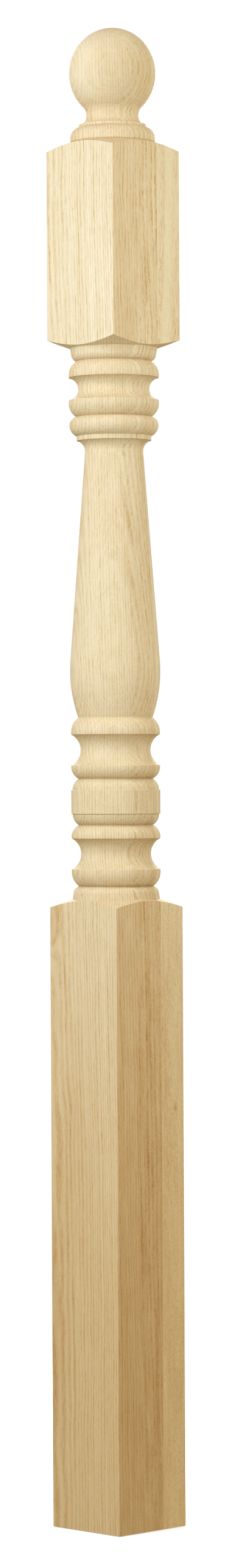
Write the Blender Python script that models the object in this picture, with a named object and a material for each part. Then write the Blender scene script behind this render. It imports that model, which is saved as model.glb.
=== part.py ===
"""A ball-top newel post, as a stair builder buys it: unfinished oak, not yet trimmed or bored.

The real post is one piece. A square blank is glued up from boards, and a lathe then cuts
everything between and above its two square blocks in one setting: the ball, its throat and
ring, and the long vase with its beads and coves. So the model is made the same way. The
blank is a square prism, and what the lathe leaves is a body of revolution. The post is the
stuff that lies in both, which also gives the arched shoulders where a flat face ends.

The post stands on Z with its foot at the origin, and its flat faces look along X and Y.
Radii are worked out as depths of cut below the crest circle, the largest round that the
lathe brings the blank to. Heights are stacked downwards from the crown of the ball.
"""

import math

import bpy

MM = 0.001

# The blank
POST_WIDTH = 76.2 * MM  # across two flat faces
POST_HEIGHT = 1219.2 * MM  # foot to crown

# The lathe
CREST_CLEARANCE = 1.4 * MM  # from a flat face of the blank in to the crest circle
SHOULDER_ANGLE = math.radians(19.5)  # fall of the shoulders where round meets square

# The ball and its ring, above the upper block
BALL_RELIEF = 1.6 * MM  # the ball is this much smaller in radius than the crest circle
BALL_RISE = 1.053  # the ball's height over its width
THROAT_DEPTH = 15.6 * MM
THROAT_ROUND = 9.2 * MM  # radius of the hollow under the ball
THROAT_FOOT = 7.9 * MM  # from the narrowest place down to the fillet
RING_FILLET_DEPTH = 9.3 * MM
RING_FILLET_HEIGHT = 2.3 * MM
RING_DEPTH = 2.3 * MM
RING_ROUND_DEPTH = 7.0 * MM
RING_ROUND_HEIGHT = 8.3 * MM
RING_LAND = 3.5 * MM
RING_QUIRK = 0.9 * MM  # depth and width of the small groove that parts ring and shoulder

# The upper block, between the roots of its shoulders
UPPER_BLOCK_LENGTH = 166.7 * MM

# The collars that meet the blocks, under the upper and over the lower one
COLLAR_DEPTH = 1.2 * MM
COLLAR_TAPER = 0.8 * MM
COLLAR_LAND = 4.8 * MM
COLLAR_ROUND = 5.8 * MM  # height of the round that ends in the valley

# The valleys between neighbouring beads
VALLEY_DEPTH = 6.5 * MM

# The upper group of beads
SHORT_COVE_WIDTH = 18.4 * MM
SHORT_COVE_DEPTH = 7.7 * MM
UPPER_BEAD_ROUND = 10.6 * MM  # height of the rounded part of the beads beside the cove
UPPER_BEAD_LAND = 2.8 * MM  # height of their straight part
ROLL_DEPTH = 0.4 * MM  # the full bead below them, a little under the crest circle
ROLL_UPPER_ROUND = 6.7 * MM
ROLL_LOWER_ROUND = 9.0 * MM
VASE_FILLET_DEPTH = 6.3 * MM
VASE_FILLET_HEIGHT = 3.8 * MM

# The vase
VASE_LENGTH = 225.1 * MM
NECK_DEPTH = 13.0 * MM
NECK_ROUND = 9.1 * MM  # radius of the hollow under the fillet
NECK_FALL = 8.4 * MM  # from the fillet down to the hollow's centre
BELLY_RISE = 38.0 * MM  # from the vase's foot up to its widest place

# The lower group of beads
LOWER_BEAD_DEPTH = 0.6 * MM  # its beads are a little under the crest circle
LONG_COVE_WIDTH = 25.2 * MM
LONG_COVE_DEPTH = 7.7 * MM
OUTER_BEAD_ROUND = 11.6 * MM  # beads at the two ends of the group
OUTER_BEAD_LAND = 2.2 * MM
INNER_BEAD_ROUND = 9.6 * MM  # beads next to the drum
INNER_BEAD_LAND = 1.2 * MM
DRUM_DEPTH = 0.5 * MM
DRUM_LENGTH = 19.5 * MM  # the straight band
DRUM_STEP = 1.0 * MM  # width of the small step at each end of the band
DRUM_ROUND = 9.1 * MM  # height of the rounds from the steps to the valleys

# How finely the curves are faceted
FACET_TOLERANCE = 0.2 * MM  # most that a chord leaves its arc
TURNS = 32  # flats round the lathe's axis, a multiple of eight so that corners meet them
OVERCUT = 5.0 * MM  # how far the lathe's path and the blank run past each other
SHARP_ANGLE = math.radians(28)  # edges that turn more than this stay sharp when shaded

CREST_RADIUS = POST_WIDTH / 2 - CREST_CLEARANCE
CORNER_RADIUS = POST_WIDTH / math.sqrt(2)


def arc_steps(radius, sweep):
    """Chords that an arc needs so that none leaves it by more than the tolerance."""
    chord = 2 * math.acos(max(0.0, 1 - FACET_TOLERANCE / radius))
    return max(2, math.ceil(sweep / chord))


def rounding(depth, height):
    """Points (inset, offset) of an arc, from its crest, where it runs along the axis.

    The arc ends depth below the crest and height along the axis from it. It is part of a
    circle, or a quarter of an ellipse where it is deeper than it is high.
    """
    sweep = min(2 * math.atan2(depth, height), math.pi / 2)
    inward = depth / (1 - math.cos(sweep))
    along = height / math.sin(sweep)
    steps = arc_steps(max(inward, along), sweep)
    angles = [sweep * i / steps for i in range(steps + 1)]
    return [(inward * (1 - math.cos(a)), along * math.sin(a)) for a in angles]


class LathePath:
    """The lathe's path from the crown down, as points of (radius, height)."""

    def __init__(self, top):
        self.points = [(0.0, top)]

    @property
    def height(self):
        return self.points[-1][1]

    def to(self, radius, height):
        if math.dist(self.points[-1], (radius, height)) > 1e-7:
            self.points.append((radius, height))

    def down(self, radius, drop):
        """A straight cut to radius, which is drop lower."""
        self.to(radius, self.height - drop)

    def swell(self, crest, depth, height):
        """A convex round that grows downwards to the crest radius."""
        start = self.height
        for inset, offset in reversed(rounding(depth, height)):
            self.to(crest - inset, start - height + offset)

    def shrink(self, crest, depth, height):
        """A convex round that falls away downwards from the crest radius."""
        start = self.height
        for inset, offset in rounding(depth, height):
            self.to(crest - inset, start - offset)

    def cove(self, edge, depth, width):
        """A hollow cut between two sharp edges of the same radius."""
        start = self.height
        floor = edge - depth
        half = rounding(depth, width / 2)
        for inset, offset in reversed(half):
            self.to(floor + inset, start - width / 2 + offset)
        for inset, offset in half:
            self.to(floor + inset, start - width / 2 - offset)

    def shoulder_out(self):
        """A sloping cut from the root of a block out past the blank's corners."""
        outside = CORNER_RADIUS + OVERCUT
        self.down(outside, (outside - self.points[-1][0]) * math.tan(SHOULDER_ANGLE))

    def shoulder_in(self, root, root_height):
        """The cut back in, under a block, to the root at its lower end."""
        outside = CORNER_RADIUS + OVERCUT
        self.to(outside, root_height + (outside - root) * math.tan(SHOULDER_ANGLE))
        self.to(root, root_height)


def cut_ball_and_throat(path):
    """The ball and the hollow under it, two circles that touch, both drawn out in height."""
    ball = CREST_RADIUS - BALL_RELIEF
    throat = CREST_RADIUS - THROAT_DEPTH
    hollow_centre = throat + THROAT_ROUND
    reach = ball + THROAT_ROUND
    turn = math.acos(hollow_centre / reach)  # how far below the ball's equator they touch
    centre = path.height - ball * BALL_RISE
    steps = arc_steps(ball, math.pi / 2 + turn)
    for i in range(1, steps + 1):
        angle = math.pi / 2 - (math.pi / 2 + turn) * i / steps
        path.to(ball * math.cos(angle), centre + BALL_RISE * ball * math.sin(angle))
    narrowest = centre - BALL_RISE * reach * math.sin(turn)
    foot_sweep = math.asin(min(1.0, THROAT_FOOT / (BALL_RISE * THROAT_ROUND)))
    steps = arc_steps(THROAT_ROUND, turn + foot_sweep)
    for i in range(1, steps + 1):
        angle = turn - (turn + foot_sweep) * i / steps
        path.to(
            hollow_centre - THROAT_ROUND * math.cos(angle),
            narrowest + BALL_RISE * THROAT_ROUND * math.sin(angle),
        )


def cut_ring(path):
    """The fillet and the bold ring that stand on the upper block."""
    fillet = CREST_RADIUS - RING_FILLET_DEPTH
    ring = CREST_RADIUS - RING_DEPTH
    path.down(fillet, 0)
    path.down(fillet, RING_FILLET_HEIGHT)
    path.swell(ring, RING_ROUND_DEPTH, RING_ROUND_HEIGHT)
    path.down(ring, RING_LAND)
    path.down(ring - RING_QUIRK, RING_QUIRK / 2)
    path.down(ring, RING_QUIRK / 2)


def cut_upper_beads(path):
    """The collar, two beads with a cove between them, the roll and the fillet."""
    valley = CREST_RADIUS - VALLEY_DEPTH
    collar = CREST_RADIUS - COLLAR_DEPTH
    roll = CREST_RADIUS - ROLL_DEPTH
    fillet = CREST_RADIUS - VASE_FILLET_DEPTH
    path.down(collar - COLLAR_TAPER, COLLAR_LAND)
    path.shrink(collar - COLLAR_TAPER, collar - COLLAR_TAPER - valley, COLLAR_ROUND)
    path.swell(CREST_RADIUS, VALLEY_DEPTH, UPPER_BEAD_ROUND)
    path.down(CREST_RADIUS, UPPER_BEAD_LAND)
    path.cove(CREST_RADIUS, SHORT_COVE_DEPTH, SHORT_COVE_WIDTH)
    path.down(CREST_RADIUS, UPPER_BEAD_LAND)
    path.shrink(CREST_RADIUS, VALLEY_DEPTH, UPPER_BEAD_ROUND)
    path.swell(roll, roll - valley, ROLL_UPPER_ROUND)
    path.shrink(roll, roll - fillet, ROLL_LOWER_ROUND)
    path.down(fillet, VASE_FILLET_HEIGHT)


def cut_vase(path):
    """The vase: a hollow under the fillet, a straight taper, and a belly down to the foot.

    The taper is the line that touches both the hollow's circle and the belly's.
    """
    foot_height = path.height - VASE_LENGTH
    belly = rounding(VALLEY_DEPTH, BELLY_RISE)
    belly_round = (VALLEY_DEPTH**2 + BELLY_RISE**2) / (2 * VALLEY_DEPTH)
    belly_centre = (CREST_RADIUS - belly_round, foot_height + BELLY_RISE)
    neck_centre = (
        CREST_RADIUS - NECK_DEPTH + NECK_ROUND,
        path.height - NECK_FALL,
    )
    across = neck_centre[0] - belly_centre[0]
    up = neck_centre[1] - belly_centre[1]
    lean = math.atan2(up, across) - math.acos(
        (NECK_ROUND + belly_round) / math.hypot(across, up)
    )
    flare = math.asin(min(1.0, NECK_FALL / NECK_ROUND))
    steps = arc_steps(NECK_ROUND, flare + lean)
    for i in range(steps + 1):
        angle = flare - (flare + lean) * i / steps
        path.to(
            neck_centre[0] - NECK_ROUND * math.cos(angle),
            neck_centre[1] + NECK_ROUND * math.sin(angle),
        )
    steps = arc_steps(belly_round, lean)
    for i in range(steps):
        angle = lean * (1 - i / steps)
        path.to(
            belly_centre[0] + belly_round * math.cos(angle),
            belly_centre[1] + belly_round * math.sin(angle),
        )
    for inset, offset in belly:
        path.to(CREST_RADIUS - inset, belly_centre[1] - offset)


def cut_lower_beads(path):
    """Two coves between beads, with a straight drum in the middle, and the lower collar."""
    valley = CREST_RADIUS - VALLEY_DEPTH
    bead = CREST_RADIUS - LOWER_BEAD_DEPTH
    drum = CREST_RADIUS - DRUM_DEPTH
    shoulder = drum - DRUM_STEP
    collar = CREST_RADIUS - COLLAR_DEPTH
    path.swell(bead, bead - valley, OUTER_BEAD_ROUND)
    path.down(bead, OUTER_BEAD_LAND)
    path.cove(bead, LONG_COVE_DEPTH, LONG_COVE_WIDTH)
    path.down(bead, INNER_BEAD_LAND)
    path.shrink(bead, bead - valley, INNER_BEAD_ROUND)
    path.swell(shoulder, shoulder - valley, DRUM_ROUND)
    path.down(drum, 0)
    path.down(drum, DRUM_LENGTH)
    path.down(shoulder, 0)
    path.shrink(shoulder, shoulder - valley, DRUM_ROUND)
    path.swell(bead, bead - valley, INNER_BEAD_ROUND)
    path.down(bead, INNER_BEAD_LAND)
    path.cove(bead, LONG_COVE_DEPTH, LONG_COVE_WIDTH)
    path.down(bead, OUTER_BEAD_LAND)
    path.shrink(bead, bead - valley, OUTER_BEAD_ROUND)
    path.swell(collar - COLLAR_TAPER, collar - COLLAR_TAPER - valley, COLLAR_ROUND)
    path.down(collar, COLLAR_LAND)


def lathe_path():
    """The whole path from the crown to below the foot."""
    path = LathePath(POST_HEIGHT)
    cut_ball_and_throat(path)
    cut_ring(path)
    block_end = path.height - UPPER_BLOCK_LENGTH
    path.shoulder_out()
    path.shoulder_in(CREST_RADIUS - COLLAR_DEPTH, block_end)
    cut_upper_beads(path)
    cut_vase(path)
    cut_lower_beads(path)
    path.shoulder_out()
    path.to(CORNER_RADIUS + OVERCUT, -OVERCUT)
    path.to(0.0, -OVERCUT)
    return path.points


def clear_scene():
    for obj in list(bpy.data.objects):
        bpy.data.objects.remove(obj)


def oak():
    """Unfinished oak, planed and sanded."""
    material = bpy.data.materials.new("unfinished_oak")
    material.use_nodes = True
    shader = material.node_tree.nodes["Principled BSDF"]
    shader.inputs["Base Color"].default_value = (0.76, 0.60, 0.36, 1.0)
    shader.inputs["Roughness"].default_value = 0.62
    shader.inputs["Metallic"].default_value = 0.0
    return material


def make_lathe_body():
    """What the lathe leaves: the path turned round Z. It only cuts the blank."""
    points = [(radius, 0.0, height) for radius, height in lathe_path()]
    edges = [(i, i + 1) for i in range(len(points) - 1)]
    mesh = bpy.data.meshes.new("lathe_body")
    mesh.from_pydata(points, edges, [])
    body = bpy.data.objects.new("lathe_body", mesh)
    bpy.context.scene.collection.objects.link(body)
    turning = body.modifiers.new("turning", "SCREW")
    turning.axis = "Z"
    turning.angle = 2 * math.pi
    turning.steps = TURNS
    turning.render_steps = TURNS
    turning.use_merge_vertices = True
    turning.merge_threshold = 0.01 * MM
    turning.use_smooth_shade = False
    body.hide_render = True
    body.display_type = "WIRE"
    return body


def make_post(lathe_body):
    """The square blank, cut down to what it shares with the lathe's body."""
    half = POST_WIDTH / 2
    top = POST_HEIGHT + OVERCUT
    section = [(-half, -half), (half, -half), (half, half), (-half, half)]
    points = [(x, y, z) for z in (0.0, top) for x, y in section]
    sides = [(i, (i + 1) % 4, (i + 1) % 4 + 4, i + 4) for i in range(4)]
    mesh = bpy.data.meshes.new("newel_post")
    mesh.from_pydata(points, [], [(3, 2, 1, 0), (4, 5, 6, 7)] + sides)
    post = bpy.data.objects.new("newel_post", mesh)
    bpy.context.scene.collection.objects.link(post)

    cut = post.modifiers.new("turned", "BOOLEAN")
    cut.operation = "INTERSECT"
    cut.solver = "EXACT"
    cut.object = lathe_body
    turned = bpy.data.meshes.new_from_object(post.evaluated_get(bpy.context.evaluated_depsgraph_get()))
    post.modifiers.clear()
    post.data = turned
    turned.shade_smooth()
    turned.set_sharp_from_angle(angle=SHARP_ANGLE)
    turned.materials.clear()
    turned.materials.append(oak())
    return post


clear_scene()
body = make_lathe_body()
make_post(body)
bpy.data.objects.remove(body)
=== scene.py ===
import math

import bpy
import numpy as np
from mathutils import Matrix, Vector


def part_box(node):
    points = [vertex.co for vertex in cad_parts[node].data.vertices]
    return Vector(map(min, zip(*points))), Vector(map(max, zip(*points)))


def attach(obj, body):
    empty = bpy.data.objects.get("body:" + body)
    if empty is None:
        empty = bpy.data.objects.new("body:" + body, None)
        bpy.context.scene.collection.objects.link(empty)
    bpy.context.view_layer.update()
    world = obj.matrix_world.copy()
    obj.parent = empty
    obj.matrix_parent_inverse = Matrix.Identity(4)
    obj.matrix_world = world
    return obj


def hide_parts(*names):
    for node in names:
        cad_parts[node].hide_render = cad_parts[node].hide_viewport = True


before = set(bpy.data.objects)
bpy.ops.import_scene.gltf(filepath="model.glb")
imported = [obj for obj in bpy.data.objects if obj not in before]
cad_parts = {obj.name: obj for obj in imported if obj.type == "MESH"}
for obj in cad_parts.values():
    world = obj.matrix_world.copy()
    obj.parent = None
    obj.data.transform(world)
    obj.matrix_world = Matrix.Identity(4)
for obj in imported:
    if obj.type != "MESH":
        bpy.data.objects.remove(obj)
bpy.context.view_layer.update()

# The blank: a square length of oak, glued up from three boards and set between the lathe's
# centres. All that is round on the post is cut from it by one path of the tool, from the crown
# down, and the two blocks keep its flat faces and crisp corners.

MM = 0.001
foot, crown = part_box("newel_post")
POST_WIDTH = crown[0] - foot[0]
POST_HEIGHT = crown[2] - foot[2]
CREST_RADIUS = POST_WIDTH / 2 - 1.4 * MM  # the largest round that the lathe cuts
EDGE_EASE = 0.3 * MM  # sandpaper's rounding of the sharp turned edges
SHARP_TURN = math.radians(20)
ARC_STEPS = 16  # chords in one turned round


class Cutter:
    """The lathe's path, going down. Each cut adds an array of (radius, height) points."""

    def __init__(self, radius, height):
        self.cuts = [np.array([[radius, height]])]
        self.height = height

    def add(self, radii, heights):
        """Carries the path through points given as two arrays."""
        self.cuts.append(np.stack(np.broadcast_arrays(radii, heights), axis=-1).reshape(-1, 2))
        self.height = float(self.cuts[-1][-1, 1])

    def down(self, radius, drop):
        """A straight cut to a radius that is drop lower."""
        self.add(radius, self.height - drop)

    def arc(self, centre, across, along, start, end, steps=ARC_STEPS):
        """An arc: centre plus across times the cosine and along times the sine of an angle."""
        angle = np.linspace(start, end, steps + 1)
        self.add(centre[0] + across * np.cos(angle), centre[1] + along * np.sin(angle))

    def bead(self, crest, depth, height, growing):
        """A convex round, growing down to its crest or falling away from it.

        Its inset is depth times (1 - cos t) and its height times sin t, both over their values
        where t ends, which makes it part of a circle.
        """
        sweep = min(2 * math.atan2(depth, height), math.pi / 2)
        turn = np.linspace(0, sweep, ARC_STEPS + 1)
        if growing:
            turn = turn[::-1]
        inset = depth * (1 - np.cos(turn)) / (1 - math.cos(sweep))
        offset = height * np.sin(turn) / math.sin(sweep)
        self.add(crest - inset, self.height - height + offset if growing else self.height - offset)

    def cove(self, edge, size):
        """A hollow between two edges of one radius: the same arc, turned inwards, both ways."""
        depth, width = size
        sweep = min(2 * math.atan2(depth, width / 2), math.pi / 2)
        turn = np.linspace(sweep, -sweep, 2 * ARC_STEPS + 1)
        rise = depth * (1 - np.cos(turn)) / (1 - math.cos(sweep))
        self.add(edge - depth + rise, self.height - width / 2 * (1 - np.sin(turn) / math.sin(sweep)))

    def path(self):
        """The whole path, each point once, with its sharp turns eased.

        Where the path turns by more than 20 degrees, the point gives way to three: one a short
        way back, one a short way on, and between them their mean with the point itself.
        """
        points = np.concatenate(self.cuts)
        step = np.linalg.norm(np.diff(points, axis=0), axis=1)
        points = points[np.concatenate([[True], step > 0.001 * MM])]
        leg = np.diff(points, axis=0)
        length = np.linalg.norm(leg, axis=1, keepdims=True)
        leg = leg / length
        into, out = leg[:-1], leg[1:]
        sharp = (into * out).sum(axis=1) < math.cos(SHARP_TURN)
        reach_in = np.minimum(EDGE_EASE, length[:-1] / 3)
        reach_out = np.minimum(EDGE_EASE, length[1:] / 3)
        before = points[1:-1] - into * reach_in
        after = points[1:-1] + out * reach_out
        middle = (before + 2 * points[1:-1] + after) / 4
        three = np.stack([before, middle, after], axis=1)
        keep = np.stack([sharp, np.ones_like(sharp), sharp], axis=1)
        three[~sharp, 1] = points[1:-1][~sharp]
        return np.concatenate([points[:1], three[keep], points[-1:]])


# The ball and its ring: a ball a little taller than it is wide, on a hollow throat, over a ring
# with a fine line cut under it. All of it is turned in one with the block below.

BALL_RADIUS = CREST_RADIUS - 1.6 * MM
BALL_RISE = 1.053  # its height over its width
BALL_STEPS = 56  # chords from the crown to the throat
THROAT_RADIUS = CREST_RADIUS - 15.6 * MM
THROAT_ROUND = 9.2 * MM
THROAT_FOOT = 7.9 * MM  # from the narrowest place down to the fillet
RING_FILLET_RADIUS = CREST_RADIUS - 9.3 * MM
RING_FILLET_HEIGHT = 2.3 * MM
RING_RADIUS = CREST_RADIUS - 2.3 * MM
RING_ROUND_DEPTH = 7.0 * MM
RING_ROUND_HEIGHT = 8.3 * MM
RING_LAND = 3.5 * MM
RING_QUIRK = 0.9 * MM  # the fine line, as deep as it is high


def ball_and_ring():
    """The path from the crown to the upper block: ball, throat, fillet and ring.

    Ball and throat are two circles that touch where the angle's cosine is the throat centre's
    distance from the axis over the sum of the two radii. Both are drawn out in height.
    """
    cut = Cutter(0.0, POST_HEIGHT)
    hollow = THROAT_RADIUS + THROAT_ROUND
    reach = BALL_RADIUS + THROAT_ROUND
    touch = math.acos(hollow / reach)
    centre = POST_HEIGHT - BALL_RADIUS * BALL_RISE
    cut.arc((0, centre), BALL_RADIUS, BALL_RADIUS * BALL_RISE, math.pi / 2, -touch, BALL_STEPS)
    narrowest = centre - BALL_RISE * reach * math.sin(touch)
    flare = math.asin(THROAT_FOOT / (BALL_RISE * THROAT_ROUND))
    cut.arc((hollow, narrowest), -THROAT_ROUND, BALL_RISE * THROAT_ROUND, touch, -flare)
    cut.down(RING_FILLET_RADIUS, 0)
    cut.down(RING_FILLET_RADIUS, RING_FILLET_HEIGHT)
    cut.bead(RING_RADIUS, RING_ROUND_DEPTH, RING_ROUND_HEIGHT, growing=True)
    cut.down(RING_RADIUS, RING_LAND)
    cut.down(RING_RADIUS - RING_QUIRK, RING_QUIRK / 2)
    cut.down(RING_RADIUS, RING_QUIRK / 2)
    return cut


# The beads and the vase, between the two blocks: a collar, two beads round a cove, a roll, a
# fillet and the vase, then a drum between two pairs of beads with longer coves, and a collar.
# The valleys between these rounds are all cut to one radius.

COLLAR_RADIUS = CREST_RADIUS - 1.2 * MM
COLLAR_TAPER = 0.8 * MM
COLLAR_LAND = 4.8 * MM
COLLAR_ROUND = 5.8 * MM
VALLEY_RADIUS = CREST_RADIUS - 6.5 * MM

SHORT_COVE = (7.7 * MM, 18.4 * MM)  # depth and width
UPPER_BEAD_ROUND = 10.6 * MM
UPPER_BEAD_LAND = 2.8 * MM
ROLL_RADIUS = CREST_RADIUS - 0.4 * MM
ROLL_UPPER_ROUND = 6.7 * MM
ROLL_LOWER_ROUND = 9.0 * MM
VASE_FILLET_RADIUS = CREST_RADIUS - 6.3 * MM
VASE_FILLET_HEIGHT = 3.8 * MM

VASE_LENGTH = 225.1 * MM
NECK_RADIUS = CREST_RADIUS - 13.0 * MM
NECK_ROUND = 9.1 * MM
NECK_FALL = 8.4 * MM  # from the fillet down to the narrowest place
BELLY_RISE = 38.0 * MM  # from the vase's lower end up to its widest place
BELLY_STEPS = 30  # chords

LOWER_BEAD_RADIUS = CREST_RADIUS - 0.6 * MM
LONG_COVE = (7.7 * MM, 25.2 * MM)
OUTER_BEAD_ROUND = 11.6 * MM
OUTER_BEAD_LAND = 2.2 * MM
INNER_BEAD_ROUND = 9.6 * MM
INNER_BEAD_LAND = 1.2 * MM
DRUM_RADIUS = CREST_RADIUS - 0.5 * MM
DRUM_LENGTH = 19.5 * MM
DRUM_STEP = 1.0 * MM
DRUM_ROUND = 9.1 * MM


def beads_and_vase(height):
    """The path between the blocks: upper beads, vase, and lower beads round the drum.

    The vase's taper is the line that touches both the circle of its neck and that of its belly,
    so it leaves them at the angle whose cosine is the radii's sum over the centres' distance.
    """
    cut = Cutter(COLLAR_RADIUS, height)
    collar_end = COLLAR_RADIUS - COLLAR_TAPER
    cut.down(collar_end, COLLAR_LAND)
    cut.bead(collar_end, collar_end - VALLEY_RADIUS, COLLAR_ROUND, growing=False)
    cut.bead(CREST_RADIUS, CREST_RADIUS - VALLEY_RADIUS, UPPER_BEAD_ROUND, growing=True)
    cut.down(CREST_RADIUS, UPPER_BEAD_LAND)
    cut.cove(CREST_RADIUS, SHORT_COVE)
    cut.down(CREST_RADIUS, UPPER_BEAD_LAND)
    cut.bead(CREST_RADIUS, CREST_RADIUS - VALLEY_RADIUS, UPPER_BEAD_ROUND, growing=False)
    cut.bead(ROLL_RADIUS, ROLL_RADIUS - VALLEY_RADIUS, ROLL_UPPER_ROUND, growing=True)
    cut.bead(ROLL_RADIUS, ROLL_RADIUS - VASE_FILLET_RADIUS, ROLL_LOWER_ROUND, growing=False)
    cut.down(VASE_FILLET_RADIUS, VASE_FILLET_HEIGHT)

    depth = CREST_RADIUS - VALLEY_RADIUS
    belly_round = (depth**2 + BELLY_RISE**2) / (2 * depth)
    belly = (CREST_RADIUS - belly_round, cut.height - VASE_LENGTH + BELLY_RISE)
    neck = (NECK_RADIUS + NECK_ROUND, cut.height - NECK_FALL)
    gap = (neck[0] - belly[0], neck[1] - belly[1])
    lean = math.atan2(gap[1], gap[0]) - math.acos((NECK_ROUND + belly_round) / math.hypot(*gap))
    flare = math.asin(NECK_FALL / NECK_ROUND)
    cut.arc(neck, -NECK_ROUND, NECK_ROUND, flare, -lean)
    belly_end = math.asin(BELLY_RISE / belly_round)
    cut.arc(belly, belly_round, belly_round, lean, -belly_end, BELLY_STEPS)

    lower_depth = LOWER_BEAD_RADIUS - VALLEY_RADIUS
    drum_edge = DRUM_RADIUS - DRUM_STEP
    cut.bead(LOWER_BEAD_RADIUS, lower_depth, OUTER_BEAD_ROUND, growing=True)
    cut.down(LOWER_BEAD_RADIUS, OUTER_BEAD_LAND)
    cut.cove(LOWER_BEAD_RADIUS, LONG_COVE)
    cut.down(LOWER_BEAD_RADIUS, INNER_BEAD_LAND)
    cut.bead(LOWER_BEAD_RADIUS, lower_depth, INNER_BEAD_ROUND, growing=False)
    cut.bead(drum_edge, drum_edge - VALLEY_RADIUS, DRUM_ROUND, growing=True)
    cut.down(DRUM_RADIUS, 0)
    cut.down(DRUM_RADIUS, DRUM_LENGTH)
    cut.down(drum_edge, 0)
    cut.bead(drum_edge, drum_edge - VALLEY_RADIUS, DRUM_ROUND, growing=False)
    cut.bead(LOWER_BEAD_RADIUS, lower_depth, INNER_BEAD_ROUND, growing=True)
    cut.down(LOWER_BEAD_RADIUS, INNER_BEAD_LAND)
    cut.cove(LOWER_BEAD_RADIUS, LONG_COVE)
    cut.down(LOWER_BEAD_RADIUS, OUTER_BEAD_LAND)
    cut.bead(LOWER_BEAD_RADIUS, lower_depth, OUTER_BEAD_ROUND, growing=False)
    cut.bead(collar_end, collar_end - VALLEY_RADIUS, COLLAR_ROUND, growing=True)
    cut.down(COLLAR_RADIUS, COLLAR_LAND)
    return cut


# The two square blocks: the upper one, which takes the handrail, and the long foot. They are
# the blank as it was planed, with its corners lightly sanded. Where the turning starts, the
# slope of the tool leaves an arch on each face, and the foot's lower end is sawn off square.

UPPER_BLOCK_LENGTH = 166.7 * MM
SHOULDER_SLOPE = math.tan(math.radians(19.5))
CORNER_EASE = 0.2 * MM  # sandpaper's rounding of the long corners
SIDE_COLUMNS = 32  # columns across one flat face
SHOULDER_ROWS = 9
FACE_ROWS = 12


def blank_outline():
    """Angles of the columns, and how far from the axis the blank's skin is at each.

    On a side the distance is half the width over the cosine of the angle from the side's
    middle. On a corner it is where the column meets the small circle that eases it.
    """
    half = POST_WIDTH / 2
    centre = (half - CORNER_EASE) * math.sqrt(2)
    edge = math.pi / 4 - math.atan2(half - CORNER_EASE, half)
    side = np.linspace(-math.pi / 4 + edge, math.pi / 4 - edge, SIDE_COLUMNS + 1)
    corner = math.pi / 4 + edge * np.array([-0.5, 0.0, 0.5])
    one = np.concatenate([side, corner])
    to_corner = one - math.pi / 4
    offset = CORNER_EASE**2 - (centre * np.sin(to_corner)) ** 2
    on_corner = centre * np.cos(to_corner) + np.sqrt(np.maximum(offset, 0))
    reach = np.where(np.abs(to_corner) < edge * 0.99, on_corner, half / np.cos(one))
    angles = (one[None, :] + math.pi / 2 * np.arange(4)[:, None]).ravel()
    return angles, np.tile(reach, 4)


def block_rows(skin, top_root, bottom_root):
    """A grid for a square block: down one shoulder, down the flat faces, in at the other.

    A shoulder's height falls with its distance from the root by the shoulder's slope, so it
    meets the flat face in an arch. No bottom root means that the block is sawn off at z = 0.
    """
    run = np.linspace(0, 1, SHOULDER_ROWS)[:, None]
    radius = top_root[0] + (skin[None, :] - top_root[0]) * run
    height = top_root[1] - (radius - top_root[0]) * SHOULDER_SLOPE
    top_edge = height[-1:]
    radii, heights = [radius], [height]
    fall = np.linspace(0, 1, FACE_ROWS + 1)[1:, None]
    if bottom_root is None:
        bottom_edge = np.zeros_like(top_edge)
    else:
        bottom_edge = (bottom_root[1] + (skin - bottom_root[0]) * SHOULDER_SLOPE)[None, :]
    radii.append(np.repeat(skin[None, :], FACE_ROWS, axis=0))
    heights.append(top_edge + (bottom_edge - top_edge) * fall)
    if bottom_root is not None:
        back = bottom_root[0] + (skin[None, :] - bottom_root[0]) * (1 - run[1:])
        radii.append(back)
        heights.append(bottom_root[1] + (back - bottom_root[0]) * SHOULDER_SLOPE)
    return [np.concatenate(radii), np.concatenate(heights)]


# The whole post, as one closed surface. The turned parts and the blocks follow each other down
# the same columns, so there is no seam between them, as there is none in the wood.

SHARP_EDGE = math.radians(18)  # a fold that shades as an edge


def turned_rows(path, columns):
    """A grid from a path: the same radius and height in every column."""
    return [np.repeat(path[:, k : k + 1], columns, axis=1) for k in (0, 1)]


def closed_grid(name, x, y, z):
    """A mesh from a grid whose first and last rows are each one point, closed all round.

    Each face joins a point to the next in its row and to those below both. The last column's
    next is the first.
    """
    rows, columns = x.shape
    index = np.arange((rows - 2) * columns).reshape(rows - 2, columns) + 1
    beside = np.roll(index, -1, axis=1)
    last = index[-1, -1] + 1
    quads = np.stack([index[1:], beside[1:], beside[:-1], index[:-1]], axis=-1).reshape(-1, 4)
    top = np.stack([np.zeros(columns, int), index[0], beside[0]], axis=-1)
    bottom = np.stack([np.full(columns, last), beside[-1], index[-1]], axis=-1)
    grid = np.stack([x, y, z], axis=-1)
    points = np.concatenate([grid[0, :1], grid[1:-1].reshape(-1, 3), grid[-1, :1]])
    corners = np.concatenate([quads.ravel(), top.ravel(), bottom.ravel()])
    sizes = np.concatenate([np.full(len(quads), 4), np.full(2 * columns, 3)])
    mesh = bpy.data.meshes.new(name)
    mesh.vertices.add(len(points))
    mesh.vertices.foreach_set("co", points.ravel())
    mesh.loops.add(len(corners))
    mesh.loops.foreach_set("vertex_index", corners)
    mesh.polygons.add(len(sizes))
    mesh.polygons.foreach_set("loop_start", np.cumsum(sizes) - sizes)
    mesh.update(calc_edges=True)
    mesh.validate()
    return mesh


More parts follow.
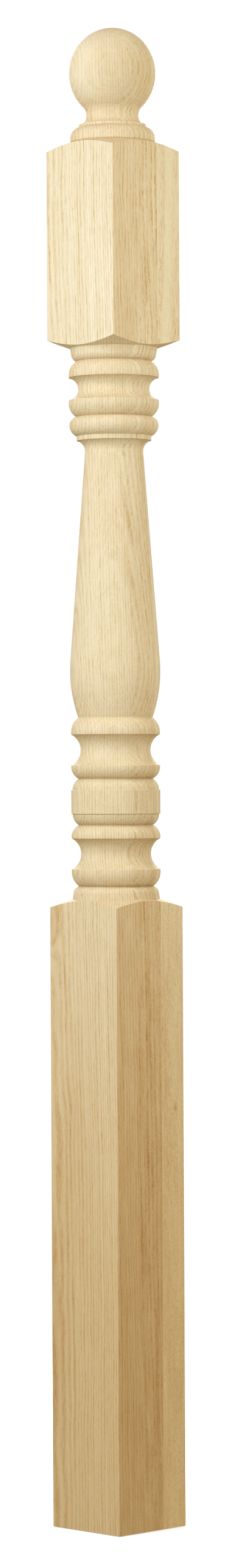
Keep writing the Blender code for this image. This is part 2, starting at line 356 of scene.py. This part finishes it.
def groove_depth(radii, heights, reach, shallow, deep):
    """How deep in a groove each row lies: 0 where it isn't, and 1 in the sharpest valleys.

    It is the mean radius of the rows near a row, less its own, set between shallow and deep.
    Near is e to the power of minus the square of the difference in height over the reach. A
    block counts as no wider than the turned crests. The upper half of the ball gets 0, and so
    does the point at the middle of the foot.
    """
    near = np.exp(-(((heights[:, None] - heights[None, :]) / reach) ** 2))
    near = near * np.abs(np.gradient(heights))[None, :]
    radii = np.minimum(radii, CREST_RADIUS)
    below = (near @ radii) / near.sum(axis=1) - radii
    below = np.where((heights > POST_HEIGHT - BALL_RADIUS) | (radii <= 0), 0, below)
    return np.clip((below - shallow) / (deep - shallow), 0, 1)


upper = ball_and_ring()
block_end = upper.height - UPPER_BLOCK_LENGTH
middle = beads_and_vase(block_end)
angles, skin = blank_outline()
bands = [
    turned_rows(upper.path()[:-1], len(angles)),
    block_rows(skin, (RING_RADIUS, upper.height), (COLLAR_RADIUS, block_end)),
    turned_rows(middle.path()[1:-1], len(angles)),
    block_rows(skin, (COLLAR_RADIUS, middle.height), None),
    [np.zeros((1, len(angles))), np.zeros((1, len(angles)))],
]
radii, heights = [np.concatenate([band[k] for band in bands]) for k in (0, 1)]
post_mesh = closed_grid("post_surface", radii * np.cos(angles), radii * np.sin(angles), heights)
profile = [grid[:, SIDE_COLUMNS // 2] for grid in (radii, heights)]
# How deep in a groove each row lies, kept on the mesh as the mask for the painted shade in the valleys
groove = groove_depth(*profile, reach=4.5 * MM, shallow=0.2 * MM, deep=2.0 * MM)
groove = np.concatenate([groove[:1], np.repeat(groove[1:-1], len(angles)), groove[-1:]])
post_mesh.attributes.new("groove", "FLOAT", "POINT").data.foreach_set("value", groove)
post_mesh.shade_smooth()
post_mesh.set_sharp_from_angle(angle=SHARP_EDGE)
post = bpy.data.objects.new("oak_post", post_mesh)
bpy.context.scene.collection.objects.link(post)
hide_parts("newel_post")
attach(post, "root")


# The post's finish: bare oak, sanded and left unsealed. The blank's three boards come from
# different logs, and each cut that the lathe makes shows the same yearly rings, pores and rays
# from another side, so the pattern is worked out in the solid wood.


class Value:
    """A number in the material. Arithmetic on it adds Math nodes to the sheet it is on."""

    def __init__(self, sheet, socket):
        self.sheet = sheet
        self.socket = socket

    def math(self, operation, *values):
        """A Math node: the operation on the values, in their order."""
        return self.sheet.node("ShaderNodeMath", {"operation": operation}, dict(enumerate(values)))

    def __add__(self, other):
        return self.math("ADD", self, other)

    def __sub__(self, other):
        return self.math("SUBTRACT", self, other)

    def __mul__(self, other):
        return self.math("MULTIPLY", self, other)

    def __truediv__(self, other):
        return self.math("DIVIDE", self, other)

    def __pow__(self, other):
        return self.math("POWER", self, other)

    def __lt__(self, other):
        return self.math("LESS_THAN", self, other)

    def __gt__(self, other):
        return self.math("GREATER_THAN", self, other)

    def __rsub__(self, other):
        return self.math("SUBTRACT", other, self)

    def __rtruediv__(self, other):
        return self.math("DIVIDE", other, self)

    __radd__ = __add__
    __rmul__ = __mul__

    def rises(self, low, high):
        """0 below low, 1 above high and a smooth step between. It falls where low is higher."""
        return self.sheet.node(
            "ShaderNodeMapRange",
            {"interpolation_type": "SMOOTHSTEP"},
            {"Value": self, "From Min": low, "From Max": high},
        )


class Sheet:
    """A node tree, and the nodes that are added to it."""

    def __init__(self, tree):
        self.tree = tree

    def link(self, node, inputs):
        """Sets a node's sockets: by a link to a Value, or else to a number or a colour."""
        for key, value in inputs.items():
            if isinstance(value, Value):
                self.tree.links.new(value.socket, node.inputs[key])
            else:
                node.inputs[key].default_value = value

    def node(self, kind, settings, inputs, output=0):
        """Any node: its type, its settings, what goes into its sockets, and which one it gives."""
        node = self.tree.nodes.new(kind)
        for key, value in settings.items():
            setattr(node, key, value)
        self.link(node, inputs)
        return Value(self, node.outputs[output])

    def noise(self, place, detail, roughness):
        """Cloudy noise about 0.5, one cloud to a unit of the place's own length."""
        inputs = {"Vector": place, "Scale": 1.0, "Detail": detail, "Roughness": roughness}
        return self.node("ShaderNodeTexNoise", {}, inputs)

    def noise_along(self, distance):
        """The same noise on a line."""
        inputs = {"W": distance, "Scale": 1.0, "Detail": 2.0}
        return self.node("ShaderNodeTexNoise", {"noise_dimensions": "1D"}, inputs)

    def vector(self, x, y, z):
        """A place, from its three distances."""
        return self.node("ShaderNodeCombineXYZ", {}, {"X": x, "Y": y, "Z": z})

    def mix(self, factor, first, second, blend="MIX"):
        """One colour over another, by a factor. The factor may go below 0 and above 1."""
        settings = {"data_type": "RGBA", "blend_type": blend, "clamp_factor": False}
        return self.node("ShaderNodeMix", settings, {"Factor": factor, 6: first, 7: second}, 2)


def new_material(name):
    """A material, its sheet and its Principled shader."""
    material = bpy.data.materials.new(name)
    material.use_nodes = True
    return material, Sheet(material.node_tree), material.node_tree.nodes["Principled BSDF"]


# All lengths in the wood are in mm
TALL = POST_HEIGHT / MM
HALF_WIDTH = POST_WIDTH / MM / 2
GLUE_LINE = HALF_WIDTH / 3  # from the axis to each of the two glue lines
THROAT_TO_BALL = (1140.0, 1165.0)  # heights
UPPER_BALL = (1182.0, 1219.0)
FOOT_END = (260.0, 0.0)

# For the front, middle and back board: where its pith was, from the post's axis, how wide its
# yearly rings are, and how far the pith leans for each mm of height
PITH_X = (-42.0, -24.0, -60.0)
PITH_Y = (-98.0, 64.0, 26.0)
RING_WIDTH = (2.15, 3.3, 3.0)
LEAN_X = (0.012, -0.010, 0.006)
LEAN_Y = (0.004, 0.012, -0.008)

# Single marks in the wood, and painted shade and light on the ball and in its throat. Each is a
# soft spot: its middle, its reach in x, y and z, its lean in x for each mm of height, and how
# much browner it makes the wood.
KNOT = ((-40.0, -40.0, 492.0), (10.0, 14.0, 26.0))
MARKS_AND_PAINTED_SHADING = (
    ((-22.0, -38.1, 455.0), (1.5, 6.0, 30.0), -0.13, 0.22),  # a streak beside the knot
    ((25.1, -10.0, 823.0), (1.2, 8.0, 26.0), -0.124, 0.22),  # a streak down the vase
    ((29.4, -11.3, 768.5), (1.2, 8.0, 24.0), -0.124, 0.20),  # and one below it
    ((38.0, 28.5, 341.0), (3.0, 1.6, 4.0), 0.0, 0.55),  # a pin knot in the right-hand face
    ((-35.0, -38.1, 165.0), (6.0, 6.0, 90.0), 0.0, 0.17),  # a stain up the foot's left edge
    # Painted shade and light on the ball: the side away from the strongest light is browner, the side
    # towards it paler
    ((30.0, 0.0, 1182.0), (24.0, 24.0, 26.0), 0.0, 0.17),  # a browner side of the ball
    ((-16.0, -28.0, 1188.0), (22.0, 22.0, 28.0), 0.0, -0.16),  # a paler one
    # Painted shade in the hollow of the throat, under the ball
    ((0.0, -20.0, 1152.0), (30.0, 30.0, 6.0), 0.0, 0.10),  # the throat
)

PALEST_WOOD = (0.845, 0.735, 0.505, 1.0)
BROWNEST_WOOD = (0.52, 0.27, 0.03, 1.0)
# Painted shade: the right-hand face, turned away from the strongest light, is browner, the more so low
# down
SHADED_FACE_BROWN = (0.50, 0.265, 0.065, 1.0)  # the same, low on the right-hand face

# What the wood's colour is multiplied by
FOOT_TINT = (0.865, 0.755, 0.58, 1.0)  # towards the foot
# Painted shade: the right-hand face is made warmer, as its shade is
SHADED_FACE_TINT = (1.01, 0.985, 0.945, 1.0)  # on the right-hand face
# Painted shade: the valleys between the beads are darkened where shade falls in them
GROOVE_SHADE_TINT = (0.88, 0.87, 0.83, 1.0)  # in the valleys between the beads


def oak(sheet, shader):
    """Oak in the solid: rings round three piths, with pores, rays and slow changes of tone.

    How brown a point is, from 0 to 1, is the sum of what the grain, the changes of tone, its
    place on the post and the single marks add, with painted shade on the right-hand face and
    painted shade and light on the ball. Its colour is mixed by that.
    """
    coordinates = sheet.node("ShaderNodeTexCoord", {}, {}, "Object")
    millimetres = sheet.node(
        "ShaderNodeVectorMath", {"operation": "SCALE"}, {0: coordinates, "Scale": 1 / MM}
    )
    x, y, z = [sheet.node("ShaderNodeSeparateXYZ", {}, {0: millimetres}, axis) for axis in "XYZ"]

    # The place on the post: how low it is, and whether it is on a turned part, on the
    # right-hand face, in a groove, and in the front or the back board
    lowness = z.rises(TALL, 0.0)
    turned = ((x * x + y * y) ** 0.5).rises(HALF_WIDTH - 0.2, HALF_WIDTH - 1.2)
    right_face = x.rises(HALF_WIDTH - 0.5, HALF_WIDTH - 0.1)
    groove = sheet.node("ShaderNodeAttribute", {"attribute_name": "groove"}, {}, "Fac")
    front = y < -GLUE_LINE
    back = y > GLUE_LINE

    def per_board(front_value, middle_value, back_value):
        """A number for each board: the middle one's, plus the difference in the other two."""
        return front * (front_value - middle_value) + back * (back_value - middle_value) + middle_value

    def mark(at, reach, lean=0.0):
        """A soft spot: e to the power of minus the sum of the squared distances over reaches.

        It leans in x, by so much for each mm of height.
        """
        leaning = x - (z - at[2]) * lean
        offsets = [(p - c) / r for p, c, r in zip((leaning, y, z), at, reach)]
        square = offsets[0] * offsets[0] + offsets[1] * offsets[1] + offsets[2] * offsets[2]
        return square.math("EXPONENT", square * -1.0)

    # Moves each board's noise to another place, so that no two boards have the same pattern
    board = per_board(0.0, 37.0, 71.0)
    knot = mark(*KNOT)

    def noise_in_blank(across, along, detail, roughness):
        """Noise that follows the post: so many clouds to the mm across it, and along it."""
        return sheet.noise(sheet.vector(x * across + board, y * across, z * along), detail, roughness)

    # A point's distance from the pith, which wanders slowly as the trunk did and bulges at the
    # knot. The yearly ring is the whole part of that distance over the ring width.
    wander = noise_in_blank(0.012, 0.0045, 1.0, 0.4)
    ripple = noise_in_blank(0.05, 0.020, 1.0, 0.5)
    from_x = x - per_board(*PITH_X) + z * per_board(*LEAN_X) + (wander - 0.5) * 9.0
    from_y = y - per_board(*PITH_Y) + z * per_board(*LEAN_Y) + (ripple - 0.5) * 3.0
    distance = (from_x * from_x + from_y * from_y) ** 0.5 + knot * 7.0
    uneven = (sheet.noise_along(distance * 0.16 + board) - 0.5) * per_board(1.8, 3.0, 3.0)
    rings = (distance + uneven) / per_board(*RING_WIDTH)
    year = rings.math("FLOOR", rings)
    phase = rings.math("FRACT", rings)

    def noise_in_trunk(across, along, roughness=0.5):
        """Noise that follows the trunk: so many clouds to the mm from its pith, and along it."""
        place = sheet.vector(from_x * across, from_y * across, z * along + board)
        return sheet.noise(place, 2.0, roughness)

    # Each year's spring wood is a band that starts fast and ends slowly, some years more
    # strongly than others, and it fades in places
    strength = sheet.node(
        "ShaderNodeTexWhiteNoise", {"noise_dimensions": "1D"}, {"W": year * 1.7 + board}, "Value"
    )
    spring_wood = phase.rises(0.0, 0.22) * phase.rises(0.78, 0.34) * (strength * 0.4 + 0.6)
    spring_wood = spring_wood * (noise_in_trunk(0.15, 0.012).rises(0.25, 0.60) * 0.55 + 0.45)

    # Pores: short dark dashes along the grain, thickest in the spring wood
    dashes = noise_in_trunk(0.9, per_board(0.085, 0.13, 0.10), 0.65)
    fine_dashes = noise_in_trunk(2.2, 0.16, 0.6)
    pores = dashes.rises(0.46, 0.62) * (spring_wood * 0.85 + 0.15)
    fine_pores = fine_dashes.rises(0.46, 0.68) * (spring_wood * 0.5 + 0.5)

    # Rays: thin upright sheets that lie one way in each board. A cut along them shows long
    # flecks, and a cut across them shows fine ticks.
    across = x * per_board(0.68, 0.93, 0.40) + y * per_board(-0.73, 0.36, 0.92)
    rays = sheet.noise(sheet.vector(across * 1.5, distance * 0.05, z * 0.035 + board), 1.0, 0.5)
    ticks = sheet.noise(sheet.vector(across * 0.8, distance * 0.60, z * 0.50 + board), 2.0, 0.6)

    # Slow changes of tone along and across each board, and a pale thread of glue at the back
    cloud = noise_in_blank(0.035, 0.006, 2.0, 0.5)
    mottle = noise_in_trunk(0.16, 0.028)
    streak = noise_in_trunk(0.32, 0.004, 0.55)
    past_glue = y - GLUE_LINE
    glue = past_glue.math("ABSOLUTE", past_glue).rises(0.45, 0.15) * mottle.rises(0.35, 0.65)

    # The turned parts show the rings and pores more softly than the planed faces do, and the
    # ball most softly. The rings fade on the right-hand face too, and the pores down the post.
    softer = 1 - turned * (z.rises(*THROAT_TO_BALL) * 0.16 + 0.28)
    grain = (
        spring_wood * softer * (1 - right_face * 0.4) * (per_board(0.17, 0.18, 0.14) + lowness * 0.08)
        + pores * softer * (1 - lowness * 0.42) * per_board(0.36, 0.54, 0.34)
        + fine_pores * (1 - turned * 0.4) * per_board(0.20, 0.22, 0.20)
        + rays.rises(0.45, 0.62) * (per_board(0.04, 0.04, 0.02) + turned * 0.015)
        + ticks.rises(0.42, 0.62) * (per_board(0.05, 0.07, 0.10) + lowness * per_board(0.03, 0.04, 0.09))
    )
    tone = (
        (streak - 0.5) * (1 - turned * 0.5) * (per_board(0.26, 0.50, 0.22) + lowness * 0.14)
        + (mottle - 0.5) * (1 + right_face * (1 + lowness)) * per_board(0.14, 0.20, 0.12)
        + (cloud - 0.5) * (0.18 + right_face * (0.10 + lowness * 0.14))
    )

    # The front board is paler by its near edge, the foot by its end, and the ball by its crown
    near_edge = front * x.rises(-25.0, 10.0) * (lowness * 0.05 + 0.03)
    foot_end = z.rises(*FOOT_END) * (right_face * 0.10 + 0.06)
    ball_crown = z.rises(*UPPER_BALL) * 0.20
    tone_and_shade_by_place = (
        per_board(0.125, 0.13, 0.0)
        + lowness * per_board(0.02, 0.12, -0.21)
        # Painted shade: the right-hand face is browner, by a different amount in each board and more low
        # down
        + right_face * (per_board(0.10, 0.02, 0.0) + lowness * 0.05)
        + turned * (per_board(0.12, 0.02, 0.02) - lowness * 0.05)
        - (near_edge + foot_end + ball_crown + glue * 0.16)
    )
    # Real marks in the wood, plus painted shade and light on the ball and painted shade in its throat
    marks = knot * 0.30 + sum(mark(at, reach, lean) * browner for at, reach, lean, browner in MARKS_AND_PAINTED_SHADING)
    brownness = grain + tone + tone_and_shade_by_place + marks

    def tinted(colour, factor, tint):
        """A colour, multiplied by a tint as far as the factor says."""
        return sheet.mix(factor, colour, sheet.mix(1.0, colour, tint, "MULTIPLY"))

    # Painted shade: a browner brownest colour low on the right-hand face
    brownest = sheet.mix(right_face * lowness, BROWNEST_WOOD, SHADED_FACE_BROWN)
    colour = sheet.mix(brownness, PALEST_WOOD, brownest)
    colour = tinted(colour, z.rises(TALL * 0.70, TALL * 0.1) * (1 - turned * 0.5), FOOT_TINT)
    # Painted warm shade on the right-hand face
    colour = tinted(colour, right_face * (lowness * 0.5 + 1), SHADED_FACE_TINT)
    # Painted shade in the valleys between the beads, stronger low on the post
    colour = tinted(colour, groove * (lowness * 2.5 + 0.05), GROOVE_SHADE_TINT)
    relief = pores * -0.6 + fine_pores * -0.5 + spring_wood * -0.25
    bump = sheet.node(
        "ShaderNodeBump", {}, {"Height": relief, "Distance": 0.05 * MM, "Strength": 0.4}, "Normal"
    )
    inputs = {"Base Color": colour, "Roughness": 0.58 + pores * 0.2, "Normal": bump}
    sheet.link(shader, {**inputs, "Specular IOR Level": 0.3})


bare_oak, oak_sheet, oak_shader = new_material("bare_oak")
oak(oak_sheet, oak_shader)
post_mesh.materials.append(bare_oak)


# The studio: a pale floor that fades into a white surround, and soft light from large panels.
# The two strongest stand high on the left and behind the post, and the weakest close on its
# right.

WHITE = (1.0, 1.0, 1.0, 1.0)
WARM_SURROUND = (0.42, 0.32, 0.16, 1.0)  # its light on the post, which the camera sees as white
FLOOR_COLOUR = (0.74, 0.79, 0.88, 1.0)
FLOOR_REACH = 3.0
FLOOR_DROP = 0.0004  # keeps the floor just under the foot's own face
floor_mesh = bpy.data.meshes.new("floor")
square = np.array([(-1, -1, 0), (1, -1, 0), (1, 1, 0), (-1, 1, 0)]) * FLOOR_REACH
floor_mesh.from_pydata(square.tolist(), [], [(0, 1, 2, 3)])
floor = bpy.data.objects.new("floor", floor_mesh)
floor.location = (0, 0, -FLOOR_DROP)
floor.visible_diffuse = False
floor.visible_glossy = False
bpy.context.scene.collection.objects.link(floor)
pale_floor, floor_sheet, floor_shader = new_material("pale_floor")
from_post = floor_sheet.node(
    "ShaderNodeVectorMath",
    {"operation": "LENGTH"},
    {0: floor_sheet.node("ShaderNodeTexCoord", {}, {}, "Object")},
    "Value",
)
floor_sheet.link(
    floor_shader,
    {
        "Base Color": FLOOR_COLOUR,
        "Roughness": 0.9,
        "Specular IOR Level": 0.0,
        "Emission Color": WHITE,
        "Emission Strength": 0.4,
        "Alpha": from_post.rises(1.6, 0.3),
    },
)
floor_mesh.materials.append(pale_floor)

VIEW = math.radians(45)  # the camera's place round the post, from the front towards the right


def place(round_angle, distance, height):
    """A point at an angle round the post from the camera, positive to the camera's right.

    It is the distance times the angle's sine in x, and times minus its cosine in y.
    """
    angle = VIEW + math.radians(round_angle)
    return (distance * math.sin(angle), -distance * math.cos(angle), height)


def panel(name, at, aim_height, size, power, colour):
    """A soft light: a square of a size and power, turned to face a height on the post's axis."""
    lamp = bpy.data.lights.new(name, "AREA")
    lamp.size = size
    lamp.energy = power
    lamp.color = colour
    light = bpy.data.objects.new(name, lamp)
    bpy.context.scene.collection.objects.link(light)
    light.visible_camera = False
    light.location = at
    direction = Vector((0, 0, aim_height)) - light.location
    light.rotation_euler = direction.to_track_quat("-Z", "Y").to_euler()


# Where each panel stands, from the camera's side in degrees and then in m, the height that it
# is aimed at and its size in m, its power in W, and its colour
panel("left_panel", place(-55, 2.0, 2.0), 0.6, 1.0, 30.0, (0.80, 0.82, 1.0))
panel("near_left_panel", place(-50, 1.2, 0.9), 0.65, 0.7, 6.0, (0.40, 0.73, 1.0))
panel("near_front_panel", place(20, 1.2, 0.9), 0.65, 0.7, 8.8, (0.69, 0.81, 1.0))
panel("near_right_panel", place(80, 1.2, 1.5), 1.25, 0.7, 4.0, (0.79, 0.97, 0.90))
panel("right_panel", place(110, 2.0, 2.0), 0.6, 1.0, 5.5, (0.94, 0.83, 1.0))
panel("back_left_panel", place(-110, 2.0, 1.1), 0.6, 1.0, 8.5, (0.7, 0.8, 1.0))
panel("back_panel", place(180, 2.0, 1.4), 0.6, 1.2, 28.0, (0.9, 0.95, 1.0))

world = bpy.data.worlds.new("studio")
bpy.context.scene.world = world
world.use_nodes = True
world_sheet = Sheet(world.node_tree)
seen = world_sheet.node("ShaderNodeLightPath", {}, {}, "Is Camera Ray")
world_sheet.link(
    world.node_tree.nodes["Background"],
    {"Color": world_sheet.mix(seen, WARM_SURROUND, WHITE), "Strength": 1.0},
)
bpy.context.scene.view_settings.view_transform = "Standard"

# The camera: half way up the post and 3.75 m from its axis, facing a corner. Its line of sight
# is level.

PICTURE_HEIGHT = 2576  # pixels
SENSOR = 36.0  # mm, along the picture's height
PIXELS_PER_METRE = 2018.1  # at the post's axis
CAMERA_DISTANCE = 3.75
CAMERA_HEIGHT = 0.604
CAMERA_ASIDE = 0.0002  # to its own right
ROLL = math.radians(0.29)  # about its line of sight

camera_data = bpy.data.cameras.new("camera")
camera_data.sensor_width = SENSOR
camera_data.lens = PIXELS_PER_METRE * CAMERA_DISTANCE * SENSOR / PICTURE_HEIGHT
camera = bpy.data.objects.new("camera", camera_data)
bpy.context.scene.collection.objects.link(camera)
x_at, y_at, z_at = place(0, CAMERA_DISTANCE, CAMERA_HEIGHT)
camera.location = (x_at + CAMERA_ASIDE * math.cos(VIEW), y_at + CAMERA_ASIDE * math.sin(VIEW), z_at)
camera.rotation_euler = (math.pi / 2, ROLL, VIEW)
bpy.context.scene.camera = camera
